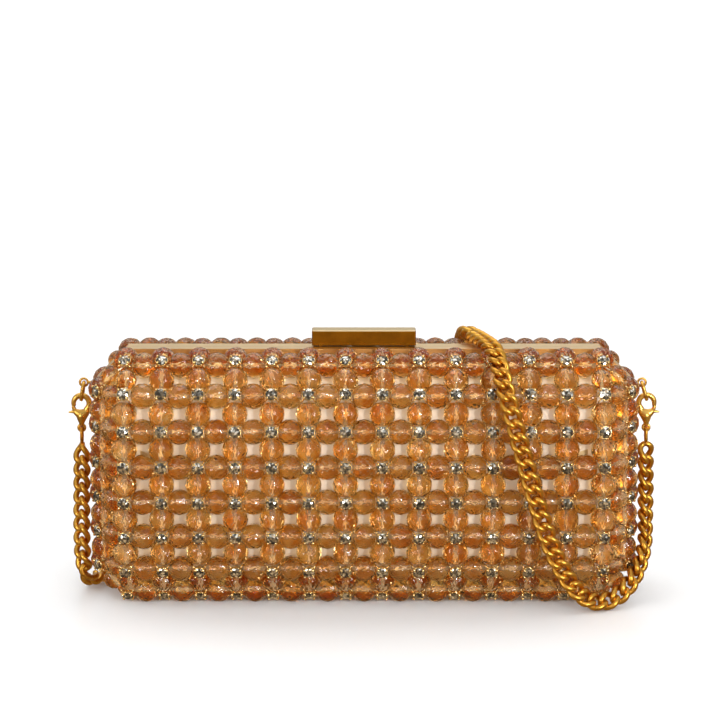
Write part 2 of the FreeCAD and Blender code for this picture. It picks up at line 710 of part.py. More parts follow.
def side_fittings(name, out):
    """Eyelet, ring, lobster clasp and link at one side: out is -1 on the left, 1 on the right."""
    eye = Vector(out * size(f"{name}_eye_out"), -size("side_depth"), size("eye_height"))
    lean = size(f"{name}_lean")
    turn = Rotation(Vector(0, 1, 0), -out * lean)
    drop = 2 * size("ring_radius") + size("ring_straight")
    ring_foot = eye + turn.multVec(Vector(0, 0, -drop))
    opening = ring_foot - Vector(0, 0, size("lobster_opening") - size("ring_wire") - size("ring_play"))
    link_top = opening - Vector(0, 0, size("lobster_length"))

    reach = f"({name}_eye_out - rim_half_width)"
    stub_start = f"0 - {reach}" if out > 0 else "eyelet_radius - 0.25"
    stub = rod("0.5", f"{reach} - eyelet_radius + 0.25", (stub_start, "0", "0"), ALONG_X)
    eyelet = keep(f"{name}_eyelet", fuse(hoop("eyelet_radius", "eyelet_wire", ALONG_Y), stub))
    eyelet.Placement = Placement(eye, Rotation())

    ring = keep(f"{name}_ring", long_link(size("ring_radius"), size("ring_straight"), size("ring_wire")))
    ring.Placement = Placement(eye, turn)
    pivot = Vector(out * size("lever_pivot_out"), 0, -size("lever_pivot_down"))
    for part_name, item in (("lobster_body", lobster_body(out)), ("lobster_lever", lobster_lever(out))):
        keep(f"{name}_{part_name}", item).Placement = Placement(opening, Rotation())
    pin = rod("lever_pin", "lobster_thickness", ("0", "0", "0"), ALONG_Y)
    keep(f"{name}_lobster_pin", group(pin)).Placement = Placement(
        opening + pivot - Vector(0, size("lobster_thickness") / 2, 0), Rotation())
    spring = keep(f"{name}_lobster_spring", group(hoop("0.45", "0.1", ALONG_Y)))
    spring.Placement = Placement(opening + pivot + Vector(0, 0.38, 0), Rotation())
    link = long_link(size("link_radius"), size("link_straight"), size("link_wire"))
    keep(f"{name}_chain_link", link).Placement = Placement(link_top, Rotation())


# ---------------------------------------------------------------- chain

def chain_tube(name, route):
    """A round tube along straight runs joined by tangent arcs."""
    points = [Vector(*point) for point in route]
    start = points[0]
    edges = []
    for before, corner, after in zip(points, points[1:], points[2:]):
        back, ahead = (before - corner), (after - corner)
        shorter = min(back.Length, ahead.Length)
        half_turn = (math.pi - back.getAngle(ahead)) / 2
        cut_back = 0.45 * shorter
        radius = cut_back / math.tan(half_turn)
        back.normalize()
        ahead.normalize()
        first, last = corner + back * cut_back, corner + ahead * cut_back
        inwards = (back + ahead).normalize()
        middle = corner + inwards * (radius / math.cos(half_turn) - radius)
        edges += [Part.LineSegment(start, first).toShape(), Part.Arc(first, middle, last).toShape()]
        start = last
    edges.append(Part.LineSegment(start, points[-1]).toShape())
    path = Part.Wire(edges)
    radius = size("chain_radius")
    section = Part.Wire(Part.makeCircle(radius, points[0], points[1] - points[0]))
    tube = path.makePipeShell([section], True, False)
    share = tube.Volume / (math.pi * radius ** 2 * path.Length)
    print(f"{name}: length {path.Length:.1f}, volume share {share:.4f}")
    return keep(name, placed(tube))


# ---------------------------------------------------------------- the whole bag

def write_parts():
    """Recompute, check every object, and write each sub-part."""
    doc.recompute()
    for item in doc.Objects:
        if any(state in item.State for state in ("Invalid", "Error")):
            raise RuntimeError(f"{item.Label} failed: {item.State}")
    for name, item in kept.items():
        if item.Shape.isNull() or not item.Shape.isValid():
            raise RuntimeError(f"{name} has no valid shape")
    os.makedirs("parts", exist_ok=True)
    for name, item in kept.items():
        item.Shape.exportStep(f"parts/{name}.step")
        print(f"{name}: {len(item.Shape.Solids)} solids, {item.Shape.Volume:.1f} mm3")


keep_halves({**layers(), **net_pieces()})
hinges()
clasp()
side_fittings("left", -1)
side_fittings("right", 1)
chain_tube("chain_front", FRONT_ROUTE)
chain_tube("chain_rear", REAR_ROUTE)
chain_tube("chain_left", LEFT_ROUTE)
write_parts()
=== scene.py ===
"""Evening bag: a hard clam-shell case under a net of amber glass beads and small stones.

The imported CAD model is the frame. Rigid parts whose CAD shape is right keep it and get a
finish. Beads, claw settings, stones, satin, lining, lobster clasps and the chain's links are
built here in more detail, where the CAD has simpler solids. Metres, in the CAD's frame: +X along
the bag, +Y to its back, +Z up.
"""
import math
import random

import bmesh
import bpy
import numpy as np
from mathutils import Matrix, Vector


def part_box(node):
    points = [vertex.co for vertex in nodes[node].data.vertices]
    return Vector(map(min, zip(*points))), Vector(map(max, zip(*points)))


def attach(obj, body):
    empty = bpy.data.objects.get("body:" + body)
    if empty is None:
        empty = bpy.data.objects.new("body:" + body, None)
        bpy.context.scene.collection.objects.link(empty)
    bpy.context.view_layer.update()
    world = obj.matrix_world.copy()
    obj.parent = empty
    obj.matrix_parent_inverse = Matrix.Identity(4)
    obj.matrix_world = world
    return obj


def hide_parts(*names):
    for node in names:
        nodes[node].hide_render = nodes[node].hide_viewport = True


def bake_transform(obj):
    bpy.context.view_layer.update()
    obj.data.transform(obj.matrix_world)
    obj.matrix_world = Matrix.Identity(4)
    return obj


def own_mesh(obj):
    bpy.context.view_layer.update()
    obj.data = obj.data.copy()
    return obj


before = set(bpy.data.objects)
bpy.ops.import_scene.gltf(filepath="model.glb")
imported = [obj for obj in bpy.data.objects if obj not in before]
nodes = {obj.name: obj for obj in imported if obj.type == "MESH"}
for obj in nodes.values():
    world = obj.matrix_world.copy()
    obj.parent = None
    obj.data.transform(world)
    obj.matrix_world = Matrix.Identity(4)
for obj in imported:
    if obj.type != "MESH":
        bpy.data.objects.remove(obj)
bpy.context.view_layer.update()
MM = 0.001
SIDES = {"left": -1, "right": 1}

# ---------------------------------------------------------------- small helpers


def piece(name, vertices, faces, materials, smooth=False, indices=None):
    """A mesh object from points and faces, with its materials."""
    mesh = bpy.data.meshes.new(name)
    mesh.from_pydata([tuple(v) for v in vertices], [], [tuple(f) for f in faces])
    for material in materials:
        mesh.materials.append(material)
    if indices is not None:
        mesh.polygons.foreach_set("material_index", np.asarray(indices, dtype=np.int32))
    flags = smooth if hasattr(smooth, "__len__") else [bool(smooth)] * len(mesh.polygons)
    mesh.polygons.foreach_set("use_smooth", np.asarray(flags, dtype=bool))
    face_outwards(mesh)
    item = bpy.data.objects.new(name, mesh)
    bpy.context.scene.collection.objects.link(item)
    return item


def face_outwards(mesh):
    """Turn every face's normal outwards."""
    shape = bmesh.new()
    shape.from_mesh(mesh)
    bmesh.ops.recalc_face_normals(shape, faces=shape.faces)
    shape.to_mesh(mesh)
    shape.free()
    mesh.update()


def settle(item, body, slot, *replaced):
    """Put a finished piece on its body and hide the CAD nodes it stands for. slot is not used."""
    if body:
        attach(item, body)
    if replaced:
        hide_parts(*replaced)
    return item


def apply_modifiers(item):
    """Keep the mesh that an object's modifiers give."""
    graph = bpy.context.evaluated_depsgraph_get()
    mesh = bpy.data.meshes.new_from_object(item.evaluated_get(graph))
    item.modifiers.clear()
    item.data = mesh
    return item


def bands(rings, sides, closed=False):
    """The four-sided faces between neighbouring rings of points. Closed also joins the last to the first."""
    faces = []
    for i in range(rings if closed else rings - 1):
        a, b = i * sides, (i + 1) % rings * sides
        faces += [(a + k, a + (k + 1) % sides, b + (k + 1) % sides, b + k) for k in range(sides)]
    return faces


def turned_shape(points, sides, closed=False):
    """A surface turned about Z from (radius, height) points."""
    angles = [2 * math.pi * k / sides for k in range(sides)]
    vertices = [(r * math.cos(angle), r * math.sin(angle), z) for r, z in points for angle in angles]
    return vertices, bands(len(points), sides, closed)


def tube(points, radius, sides=8, closed=False):
    """Vertices and faces of a round tube along points. radius may be one per point."""
    points = [Vector(p) for p in points]
    count = len(points)
    radii = radius if hasattr(radius, "__len__") else [radius] * count
    tangents = []
    for i in range(count):
        before = points[i - 1] if i or closed else points[i]
        after = points[(i + 1) % count] if i + 1 < count or closed else points[i]
        tangents.append((after - before).normalized())
    normal = tangents[0].orthogonal().normalized()
    vertices = []
    for i, (point, tangent) in enumerate(zip(points, tangents)):
        if i:
            normal = tangents[i - 1].rotation_difference(tangent) @ normal
        normal = (normal - tangent * normal.dot(tangent)).normalized()
        side = tangent.cross(normal)
        for k in range(sides):
            angle = 2 * math.pi * k / sides
            vertices.append(point + (normal * math.cos(angle) + side * math.sin(angle)) * radii[i])
    faces = bands(count, sides, closed)
    if not closed:
        faces.append(tuple(reversed(range(sides))))
        faces.append(tuple(range((count - 1) * sides, count * sides)))
    return vertices, faces


def joined(parts):
    """One list of vertices and one of faces from several (vertices, faces) pairs."""
    vertices, faces = [], []
    for some_vertices, some_faces in parts:
        start = len(vertices)
        vertices += list(some_vertices)
        faces += [tuple(start + v for v in face) for face in some_faces]
    return vertices, faces


def turning_to(axis):
    """A rotation matrix whose Z is the axis."""
    return Vector((0, 0, 1)).rotation_difference(Vector(axis)).to_matrix()


# ---------------------------------------------------------------- materials


class Finish:
    """A Principled material under construction."""

    def __init__(self, name, **values):
        self.material = bpy.data.materials.new(name)
        self.material.use_nodes = True
        self.tree = self.material.node_tree
        self.shader = self.tree.nodes["Principled BSDF"]
        for socket, value in values.items():
            self.shader.inputs[socket.replace("_", " ")].default_value = value

    def add(self, kind, **values):
        """A node, with values for its properties or its input sockets."""
        node = self.tree.nodes.new(kind)
        for name, value in values.items():
            if hasattr(node, name):
                setattr(node, name, value)
            else:
                node.inputs[name.replace("_", " ")].default_value = value
        return node

    def link(self, output, entry):
        """Join an output to an input socket."""
        self.tree.links.new(output, entry)

    def place(self, scale=(1, 1, 1)):
        """Object coordinates, stretched."""
        coordinates = self.add("ShaderNodeTexCoord")
        mapping = self.add("ShaderNodeMapping")
        mapping.inputs["Scale"].default_value = scale
        self.link(coordinates.outputs["Object"], mapping.inputs["Vector"])
        return mapping.outputs["Vector"]

    def noise(self, scale, stretch=(1, 1, 1), detail=3.0, rough=0.5):
        """A noise texture over object coordinates."""
        node = self.add("ShaderNodeTexNoise", Scale=scale, Detail=detail, Roughness=rough)
        self.link(self.place(stretch), node.inputs["Vector"])
        return node.outputs["Fac"]

    def ramp(self, factor, *stops):
        """A colour ramp of (position, colour) stops."""
        node = self.add("ShaderNodeValToRGB")
        elements = node.color_ramp.elements
        while len(elements) < len(stops):
            elements.new(0.5)
        for element, (position, colour) in zip(elements, stops):
            element.position = position
            element.color = (*colour, 1) if len(colour) == 3 else colour
        self.link(factor, node.inputs["Fac"])
        return node.outputs["Color"]

    def spread(self, factor, low, high):
        """A factor of 0 to 1 mapped onto a range."""
        node = self.add("ShaderNodeMapRange")
        node.inputs["From Min"].default_value = 0.3
        node.inputs["From Max"].default_value = 0.7
        node.inputs["To Min"].default_value = low
        node.inputs["To Max"].default_value = high
        self.link(factor, node.inputs["Value"])
        return node.outputs["Result"]

    def bump(self, factor, strength, distance):
        """Bump from a height."""
        node = self.add("ShaderNodeBump", Strength=strength, Distance=distance)
        self.link(factor, node.inputs["Height"])
        self.link(node.outputs["Normal"], self.shader.inputs["Normal"])

    def colour(self, output):
        """Drive the base colour."""
        self.link(output, self.shader.inputs["Base Color"])

    def rough(self, output):
        """Drive the roughness."""
        self.link(output, self.shader.inputs["Roughness"])


def glass_finish(name, pale, deep, roughness=0.02, glow=0.0):
    """Coloured glass whose tint drifts within each bead, with slightly uneven faces. A glow makes it give
    off painted light of its own.
    """
    finish = Finish(name, Transmission_Weight=1.0, IOR=1.5, Emission_Color=(1.0, 0.93, 0.9, 1),
                    Emission_Strength=glow)
    finish.colour(finish.ramp(finish.noise(240.0, detail=2.0), (0.38, deep), (0.60, pale)))
    finish.rough(finish.spread(finish.noise(700.0), roughness * 0.5, roughness * 1.5))
    cells = finish.add("ShaderNodeTexVoronoi", Scale=620.0)
    finish.link(finish.place(), cells.inputs["Vector"])
    finish.bump(cells.outputs["Distance"], 0.6, 0.0005)
    return finish.material


def metal_finish(name, light, dark, roughness, grain=(1, 1, 1), scale=500.0, bump=0.15, blotch=60.0,
                 top_light=None):
    """Gilt metal with a fine grain and slow drifts of tone. Faces that look up may take a paler colour: a
    painted highlight where the top catches the light.
    """
    finish = Finish(name, Metallic=1.0)
    tone = finish.ramp(finish.noise(blotch, detail=5.0, rough=0.6), (0.3, dark), (0.7, light))
    if top_light:
        # Painted highlight: faces that look up blend towards the paler top colour.
        shape = finish.add("ShaderNodeNewGeometry")
        facing = finish.add("ShaderNodeSeparateXYZ")
        finish.link(shape.outputs["Normal"], facing.inputs["Vector"])
        share = finish.ramp(facing.outputs["Z"], (0.5, (0, 0, 0)), (0.8, (1, 1, 1)))
        painted_highlight_mix = finish.add("ShaderNodeMixRGB", Color2=(*top_light, 1))
        finish.link(share, painted_highlight_mix.inputs["Fac"])
        finish.link(tone, painted_highlight_mix.inputs["Color1"])
        tone = painted_highlight_mix.outputs["Color"]
    finish.colour(tone)
    fine = finish.noise(scale, stretch=grain, detail=4.0)
    finish.rough(finish.spread(fine, roughness * 0.75, roughness * 1.3))
    finish.bump(fine, bump, 0.00004)
    return finish.material


def satin_finish(name, light, dark):
    """Woven satin: a fine weave, a sheen and soft drifts of tone."""
    finish = Finish(name, Sheen_Weight=0.4, Specular_IOR_Level=0.4)
    finish.colour(finish.ramp(finish.noise(45.0, detail=3.0), (0.3, dark), (0.7, light)))
    weave = finish.add("ShaderNodeTexWave", Scale=1500.0, Distortion=1.5, Detail=1.0)
    finish.link(finish.place((1, 1, 2.5)), weave.inputs["Vector"])
    finish.rough(finish.spread(weave.outputs["Fac"], 0.32, 0.5))
    finish.bump(weave.outputs["Fac"], 0.2, 0.00006)
    return finish.material


AMBER = glass_finish("amber_glass", (0.96, 0.68, 0.28), (0.86, 0.36, 0.05))
# The bore's wall glows: painted light that makes the thread's streak look pale and lit.
GLOWING_BORE = glass_finish("bore_glass", (0.99, 0.93, 0.88), (0.97, 0.88, 0.80), roughness=0.4, glow=0.13)
THREAD = metal_finish("gold_thread", (0.95, 0.80, 0.55), (0.85, 0.66, 0.40), 0.35)
CLAW_GOLD = metal_finish("claw_gold", (1.0, 0.78, 0.38), (0.90, 0.62, 0.24), 0.22)
# Frame: its paler top colour is a painted highlight on the upward faces.
FRAME_GOLD = metal_finish("frame_gold", (0.82, 0.50, 0.20), (0.70, 0.38, 0.12), 0.36, grain=(0.06, 3, 3),
                          scale=900.0, top_light=(0.96, 0.73, 0.41))
# Bar: a dark body, with a paler top colour painted as a highlight on the upward faces.
BAR_GOLD = metal_finish("bar_gold", (0.34, 0.125, 0.007), (0.17, 0.058, 0.0035), 0.40, grain=(3, 3, 0.05),
                        scale=700.0, blotch=110.0, bump=0.3, top_light=(0.74, 0.58, 0.33))
FITTING_GOLD = metal_finish("fitting_gold", (0.88, 0.54, 0.13), (0.74, 0.41, 0.08), 0.28)
CHAIN_GOLD = metal_finish("chain_gold", (0.78, 0.42, 0.07), (0.60, 0.28, 0.035), 0.33, scale=900.0)
SHELL_BRASS = metal_finish("shell_brass", (0.80, 0.62, 0.34), (0.70, 0.52, 0.27), 0.4)
STEEL = metal_finish("spring_steel", (0.62, 0.61, 0.60), (0.45, 0.44, 0.43), 0.3)
SATIN = satin_finish("satin", (0.90, 0.81, 0.70), (0.76, 0.63, 0.49))
LINING = satin_finish("lining_satin", (0.86, 0.72, 0.52), (0.76, 0.60, 0.40))


def stone_finish(name, colour, roughness, metallic=0.0):
    """One tone of a foil-backed stone's facets, with faint speckle. The three tones are painted light: a
    shaded dark, a half-lit brown and a white glint.
    """
    finish = Finish(name, Metallic=metallic, IOR=1.7, Coat_Weight=0.3, Coat_Roughness=0.03)
    darker = tuple(0.6 * c for c in colour)
    finish.colour(finish.ramp(finish.noise(1500.0, detail=1.0), (0.35, darker), (0.65, colour)))
    finish.rough(finish.spread(finish.noise(900.0), roughness, roughness * 2))
    return finish.material


# Painted reflections: the stones' facets are shaded dark, half-lit brown and white glints.
STONE_LIT_AND_SHADED = [stone_finish("stone_shaded_facet", (0.10, 0.078, 0.052), 0.05, metallic=0.8),
               stone_finish("stone_half_lit_facet", (0.50, 0.39, 0.26), 0.06, metallic=0.9),
               stone_finish("stone_glint_facet", (1.0, 0.95, 0.84), 0.05, metallic=1.0)]

# ---------------------------------------------------------------- the net, as in the CAD

PITCH, ROW_PITCH = 12.0, 11.6       # stone to stone along a row, and down the face
COLUMNS, ROW_COUNT = 14, 8
LOWEST_ROW = 4.0                    # height of the bottom row: the CAD bead's radius
FIRST_DEPTH = 15.0                  # the top row's distance from the parting plane
TILTS = (40.0, 12.0, 4.0, 0.0, -4.0, -12.0, -40.0)      # the net's lean between rows, in degrees
SIDE_OUT, SIDE_BACK, SIDE_CORNER = 7.8, 9.4, 15.0       # where the side columns lie
BEVEL_SHIFT = 0.3                   # beads round the vertical edges move outwards
SIDE_LEAN = 0.3                     # side stones take this share of the net's lean
RIM_DEPTH = 5.2                     # the frame rim's distance from the parting plane
RIM_SHARE = 0.42                    # how far from the rim to the stone a rim bead lies
RIM_LIFT = 0.8
CORNER_SHIFTS = {"row": 0.2, "column": 0.75, "rim": 0.75}
SIDE_COLUMNS = (0, COLUMNS + 1)
MIDDLE = (COLUMNS + 1) / 2


def profile():
    """Depth and height of each row, from the top down."""
    rows = [(FIRST_DEPTH, 0.0)]
    for tilt in TILTS:
        depth, height = rows[-1]
        lean = math.radians(tilt)
        rows.append((depth + ROW_PITCH * math.sin(lean), height - ROW_PITCH * math.cos(lean)))
    lift = LOWEST_ROW - rows[-1][1]
    return [(depth, height + lift) for depth, height in rows]


ROWS = profile()
SIDE_X = (MIDDLE - 1) * PITCH + SIDE_OUT
END_X = (MIDDLE - 1) * PITCH
EDGE_LEAN = 64.0                    # the net's lean beyond its top and bottom rows
END_TURN, SIDE_TURN = 7.0, 56.0     # how far the last stones of a row face sideways


def has_stone(column, row):
    """Whether a crossing carries a stone: the side columns lack the top and bottom ones."""
    return 0 <= row < ROW_COUNT and (column not in SIDE_COLUMNS or 0 < row < ROW_COUNT - 1)


def stone_place(column, row):
    """A crossing of the front net, in mm."""
    depth, height = ROWS[row]
    if column not in SIDE_COLUMNS:
        return Vector(((column - MIDDLE) * PITCH, -depth, height))
    depth = SIDE_CORNER if row in (1, ROW_COUNT - 2) else depth - SIDE_BACK
    return Vector((math.copysign(SIDE_X, column - MIDDLE), -depth, height))


def stone_direction(column, row):
    """The way a stone faces."""
    leans = (EDGE_LEAN,) + TILTS + (-EDGE_LEAN,)
    share = SIDE_LEAN if column in SIDE_COLUMNS else 1.0
    up = math.radians(share * (leans[row] + leans[row + 1]) / 2)
    turns = {0: -SIDE_TURN, 1: -END_TURN, COLUMNS: END_TURN, COLUMNS + 1: SIDE_TURN}
    aside = math.radians(turns.get(column, 0.0))
    return Vector((math.sin(aside) * math.cos(up), -math.cos(aside) * math.cos(up), math.sin(up)))


def bead_on(first, second, shift=0.0):
    """(centre, axis, small, thread's two ends) of the bead between two stones."""
    axis = (second - first).normalized()
    return (first + second) / 2 + axis * shift, axis, False, (first, second)


def corner_bead(kind, column, row):
    """One of the three small beads round a corner."""
    side = 0 if column == 1 else COLUMNS + 1
    beside = 1 if row == 0 else row - 1
    first, second, third = stone_place(column, row), stone_place(column, beside), stone_place(side, beside)
    ends = {"row": (second, third), "column": (first, second), "rim": (first, third)}[kind]
    middle = (ends[0] + ends[1]) / 2
    centre = middle + (middle - (first + second + third) / 3).normalized() * CORNER_SHIFTS[kind]
    if kind == "rim":
        centre += Vector((third.x - first.x, 0, first.z - third.z)).normalized() * RIM_LIFT
    return centre, (ends[1] - ends[0]).normalized(), True, ends


def rim_bead(column, row, lift=Vector()):
    """The bead between an outermost stone and the rim, lifted off the line between them."""
    stone = stone_place(column, row)
    depth = RIM_DEPTH + RIM_SHARE * (-stone.y - RIM_DEPTH)
    ends = (stone, Vector((stone.x, -RIM_DEPTH, stone.z)))
    return Vector((stone.x, -depth, stone.z)) + lift, Vector((0, 1, 0)), False, ends


CORNERS = [(column, row) for column in (1, COLUMNS) for row in (0, ROW_COUNT - 1)]


def row_beads():
    """The beads along the rows."""
    beads = [corner_bead("row", *corner) for corner in CORNERS]
    shifts = {0: -BEVEL_SHIFT, COLUMNS: BEVEL_SHIFT}
    for row in range(ROW_COUNT):
        for column in range(COLUMNS + 1):
            at_corner = row in (1, ROW_COUNT - 2) and column in shifts
            if has_stone(column, row) and has_stone(column + 1, row) and not at_corner:
                beads.append(bead_on(stone_place(column, row), stone_place(column + 1, row),
                                     shifts.get(column, 0.0)))
    return beads


def column_beads():
    """The beads down the columns."""
    beads = [corner_bead("column", *corner) for corner in CORNERS]
    for column in range(COLUMNS + 2):
        for row in range(ROW_COUNT - 1):
            at_corner = row in (0, ROW_COUNT - 2) and column in (1, COLUMNS)
            if has_stone(column, row) and has_stone(column, row + 1) and not at_corner:
                beads.append(bead_on(stone_place(column, row), stone_place(column, row + 1)))
    return beads


def rim_beads():
    """The beads that run back to the rim at the top, the sides and the corners."""
    beads = [corner_bead("rim", *corner) for corner in CORNERS]
    beads += [rim_bead(column, 0, Vector((0, 0, RIM_LIFT))) for column in range(1, COLUMNS + 1)]
    for column in SIDE_COLUMNS:
        aside = Vector((math.copysign(RIM_LIFT, column - 1), 0, 0))
        beads += [rim_bead(column, row, aside) for row in range(1, ROW_COUNT - 1)]
    return beads


def base_beads():
    """The beads that run back to the rim underneath. The bag stands on them."""
    return [rim_bead(column, ROW_COUNT - 1) for column in range(1, COLUMNS + 1)]


# ---------------------------------------------------------------- beads, claws and stones

FACETS = 12
BORE_RADIUS = 0.5
THREAD_RADIUS = 0.3
SETTING_SIDES = 16
CUP = [(0.25, 0.32), (1.2, 0.32), (1.6, 0.9), (1.9, 1.75), (2.0, 2.25), (1.92, 2.3), (1.78, 1.8),
       (1.45, 1.1), (0.25, 0.9)]
GALLERY_RADIUS, GALLERY_HEIGHT, GALLERY_WIRE = 2.02, 2.28, 0.16
CLAW = [(1.65, 0.9), (2.05, 1.8), (2.22, 2.5), (2.18, 2.92), (1.92, 3.12), (1.6, 3.16)]
CLAW_RADII = [0.2, 0.3, 0.36, 0.38, 0.34, 0.22]
CLAW_FOOT = [(3.1, 0.8), (2.7, 1.5), (2.1, 1.9)]
FOOT_WIRE = 0.26
GIRDLE_RADIUS, GIRDLE_HEIGHT = 1.93, 2.54
LIT_AND_SHADED_SHARES = (0.36, 0.26, 0.38)    # of a stone's facets: painted shade (dark), half-lit (brown) and painted glint (white)
STONE_CUTS = 12                     # differently toned stones to choose from


def bead_template(radius, half):
    """A faceted bead along Z with a bore: (vertices, faces, material indices, smooth flags).

    Glass takes material 0 and the bore's wall material 1.
    """
    belts = [(-1, 0.30), (-0.85, 0.53), (-0.60, 0.80), (-0.31, 0.95), (0.0, 1.0),
             (0.31, 0.95), (0.60, 0.80), (0.85, 0.53), (1, 0.30)]
    rings = [(half * z if abs(z) == 1 else radius * z, radius * r) for z, r in belts]
    vertices, faces, indices, smooth = [], [], [], []
    for number, (z, r) in enumerate(rings):
        for k in range(FACETS):
            angle = 2 * math.pi * (k + 0.5 * (number % 2)) / FACETS
            vertices.append((r * math.cos(angle), r * math.sin(angle), z))
    for number in range(len(rings) - 1):
        a, b = number * FACETS, (number + 1) * FACETS
        for k in range(FACETS):
            n = (k + 1) % FACETS
            if number % 2 == 0:
                faces += [(a + k, a + n, b + k), (b + k, a + n, b + n)]
            else:
                faces += [(a + k, b + n, b + k), (a + k, a + n, b + n)]
    indices += [0] * len(faces)
    smooth += [False] * len(faces)
    bore = len(vertices)
    for z in (-half, half):
        for k in range(FACETS):
            angle = 2 * math.pi * k / FACETS
            vertices.append((BORE_RADIUS * math.cos(angle), BORE_RADIUS * math.sin(angle), z))
    last = (len(rings) - 1) * FACETS
    for k in range(FACETS):
        n = (k + 1) % FACETS
        faces += [(k, bore + k, bore + n, n), (last + k, last + n, bore + FACETS + n, bore + FACETS + k)]
        indices += [0, 0]
        smooth += [False, False]
    for k in range(FACETS):
        n = (k + 1) % FACETS
        faces.append((bore + k, bore + FACETS + k, bore + FACETS + n, bore + n))
        indices.append(1)
        smooth.append(True)
    return np.array(vertices), faces, indices, smooth


BEAD_RADIUS, BEAD_HALF = 4.27, 3.85
SMALL_RADIUS, SMALL_HALF = 3.45, 3.0
BEAD_SHAPES = {False: bead_template(BEAD_RADIUS, BEAD_HALF), True: bead_template(SMALL_RADIUS, SMALL_HALF)}


def placed_copies(name, copies, materials):
    """One mesh of many (template, matrix) copies. A template is as bead_template gives it."""
    vertices, faces, indices, smooth, start = [], [], [], [], 0
    for (points, some_faces, some_indices, some_smooth), matrix in copies:
        grid = np.array(matrix)
        placed = (points @ grid[:3, :3].T + grid[:3, 3]) * MM
        vertices.append(placed)
        faces += [tuple(start + v for v in face) for face in some_faces]
        indices += some_indices
        smooth += some_smooth
        start += len(points)
    return piece(name, np.concatenate(vertices), faces, materials, smooth, indices)


def mirrored(item, name):
    """The same mesh on the other side of the parting plane."""
    mesh = item.data.copy()
    mesh.transform(Matrix.Scale(-1, 4, (0, 1, 0)))
    mesh.flip_normals()
    image = bpy.data.objects.new(name, mesh)
    bpy.context.scene.collection.objects.link(image)
    return image


def both_halves(front, kind, slot, *replaced):
    """Settle a front piece, and make and settle its mirror image."""
    back = mirrored(front, f"back_{kind}")
    settle(front, "front_half", slot, *[f"front_{node}" for node in replaced])
    settle(back, "back_half", slot, *[f"back_{node}" for node in replaced])
    return front, back


def bead_piece(kind, beads, seed):
    """The glass beads of one kind, each turned its own way about its bore."""
    rng = random.Random(seed)
    copies = []
    for centre, axis, small, _ in beads:
        spin = Matrix.Rotation(rng.uniform(0, 2 * math.pi), 4, "Z")
        turn = turning_to(axis).to_4x4()
        copies.append((BEAD_SHAPES[small], Matrix.Translation(centre) @ turn @ spin))
    item = placed_copies(f"front_{kind}", copies, [AMBER, GLOWING_BORE])
    both_halves(item, kind, "amber_glass", kind.replace("glass_", ""))


def threads(beads):
    """The gold thread through every bead, from stone to stone."""
    parts = []
    for centre, _, _, (first, second) in beads:
        parts.append(tube([first * MM, centre * MM, second * MM], THREAD_RADIUS * MM, sides=6))
    vertices, faces = joined(parts)
    both_halves(piece("front_threads", vertices, faces, [THREAD], smooth=True), "threads", "setting_gilt")


def setting_template():
    """A claw setting on the origin: a pierced cup, its gallery wire, four claws and their feet."""
    around = np.linspace(0, 2 * math.pi, SETTING_SIDES + 1)[:-1]
    ring = [(GALLERY_RADIUS * math.cos(a), GALLERY_RADIUS * math.sin(a), GALLERY_HEIGHT) for a in around]
    parts = [turned_shape(CUP, SETTING_SIDES, closed=True), tube(ring, GALLERY_WIRE, sides=6, closed=True)]
    for quarter in range(4):
        angle = math.pi / 4 + quarter * math.pi / 2
        c, s = math.cos(angle), math.sin(angle)
        parts.append(tube([(r * c, r * s, z) for r, z in CLAW], CLAW_RADII, sides=8))
        parts.append(tube([(r * c, r * s, z) for r, z in CLAW_FOOT], FOOT_WIRE, sides=8))
    vertices, faces = joined(parts)
    return np.array([tuple(v) for v in vertices]), faces, [0] * len(faces), [True] * len(faces)


def stone_template(rng):
    """A cut stone over its setting's seat. Each of its facets takes one of three painted-light tones: shaded
    dark, half-lit brown and a white glint.
    """
    height = GIRDLE_HEIGHT
    rings = [(0.0, height - 1.05, 1, 0.0),
             (GIRDLE_RADIUS, height, 16, 0.0),
             (GIRDLE_RADIUS, height + 0.18, 16, 0.0),
             (1.53, height + 0.52, 8, 0.5),
             (0.95, height + 0.82, 8, 0.0)]
    vertices, starts = [], []
    for radius, z, count, offset in rings:
        starts.append(len(vertices))
        vertices += [(radius * math.cos(2 * math.pi * (k + offset) / count),
                      radius * math.sin(2 * math.pi * (k + offset) / count), z) for k in range(count)]
    starts.append(len(vertices))
    vertices.append((0, 0, height + 0.84))
    point, low, high, star, table, centre = starts
    faces = []
    for k in range(16):
        n = (k + 1) % 16
        faces += [(point, low + n, low + k), (low + k, low + n, high + n, high + k)]
    for k in range(8):
        n = (k + 1) % 8
        a, b, c = high + 2 * k, high + 2 * k + 1, high + (2 * k + 2) % 16
        faces += [(a, b, star + k), (b, c, star + k), (a, star + k, table + k),
                  (star + k, table + n, table + k), (c, table + n, star + k), (table + k, table + n, centre)]
    facet_lighting = [rng.choices((0, 1, 2), LIT_AND_SHADED_SHARES)[0] for _ in faces]
    return np.array(vertices), faces, facet_lighting, [False] * len(faces)


def claws_and_stones():
    """A setting and a stone at every crossing."""
    rng = random.Random(5)
    setting = setting_template()
    stones = [stone_template(rng) for _ in range(STONE_CUTS)]
    places, cut = [], []
    for column in range(COLUMNS + 2):
        for row in range(ROW_COUNT):
            if has_stone(column, row):
                turn = upright_turn(stone_direction(column, row))
                turn = Matrix.Translation(stone_place(column, row)) @ turn
                places.append((setting, turn))
                spin = Matrix.Rotation(rng.uniform(0, 2 * math.pi), 4, "Z")
                cut.append((rng.choice(stones), turn @ spin))
    both_halves(placed_copies("front_claw_settings", places, [CLAW_GOLD]), "claw_settings", "setting_gilt",
                "stone_settings")
    both_halves(placed_copies("front_cut_stones", cut, STONE_LIT_AND_SHADED), "cut_stones", "clear_stone", "stones")


